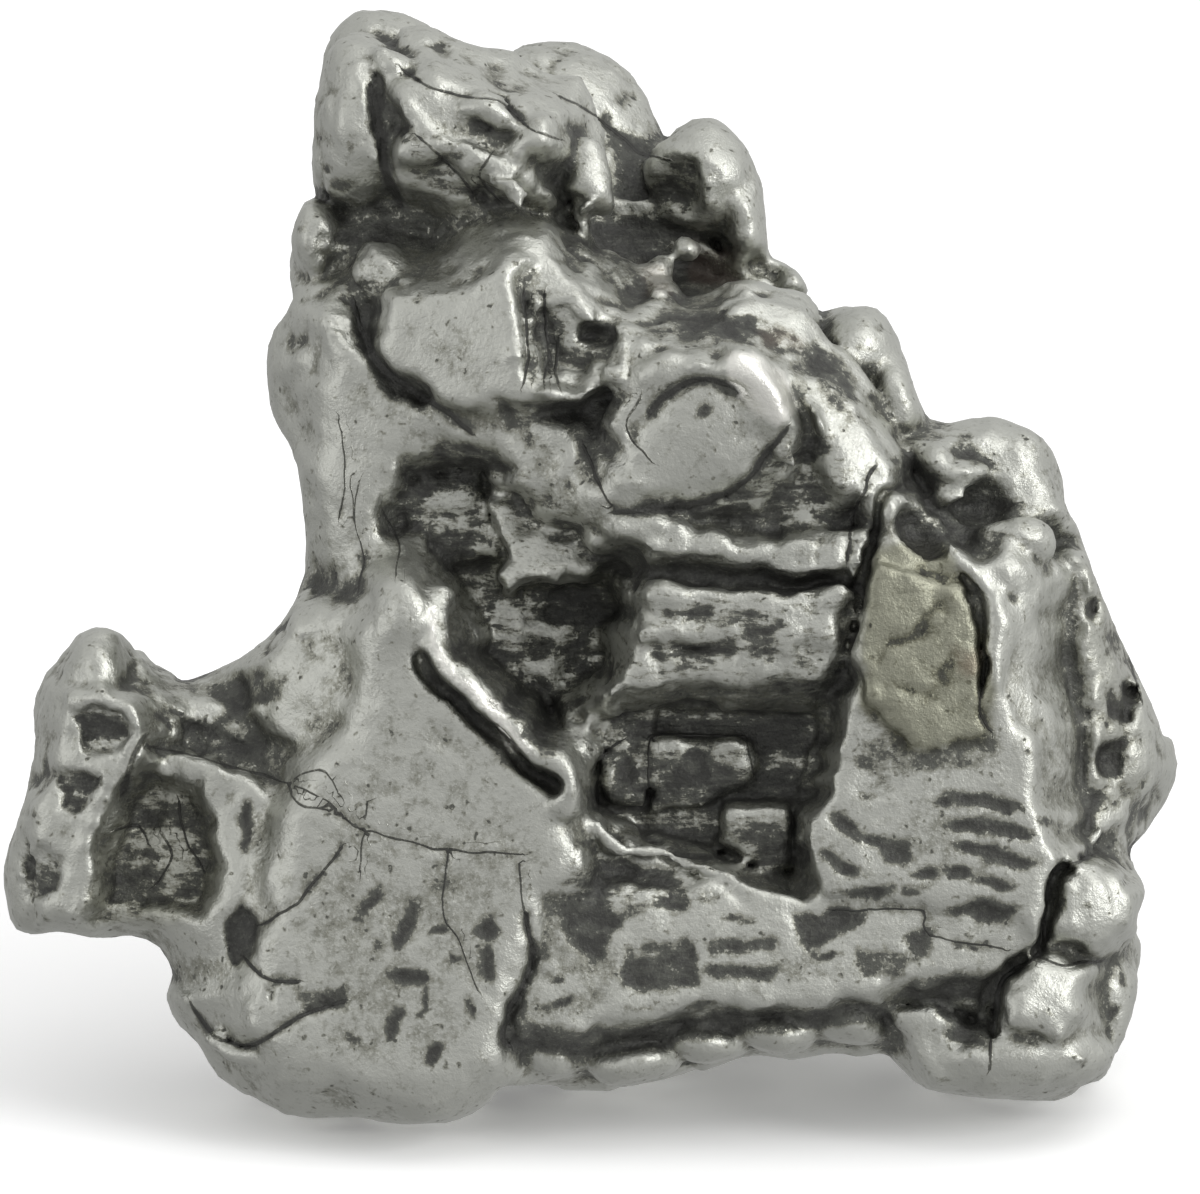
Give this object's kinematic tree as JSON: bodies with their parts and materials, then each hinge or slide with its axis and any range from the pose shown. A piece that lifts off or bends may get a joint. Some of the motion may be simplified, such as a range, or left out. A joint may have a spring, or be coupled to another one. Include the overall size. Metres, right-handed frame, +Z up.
{
  "type": "meteorite fragment",
  "caption": "Rugged lump of natural iron-nickel with worn faces, angular ledges, clefts and pits, for display on a shelf or as a small prop",
  "frame": {"origin": "middle of the bounding box on the surface that the fragment rests on", "axes": "+X along the longest way, to the right of a viewer at the front face; +Y away from that viewer; +Z up"},
  "size_m": [0.035, 0.0236, 0.0311],
  "materials": {
    "iron_nickel": "tumbled and etched iron-nickel with dark patina in the recesses"
  },
  "bodies": {
    "root": {"fragment": "iron_nickel"}
  },
  "joints": []
}
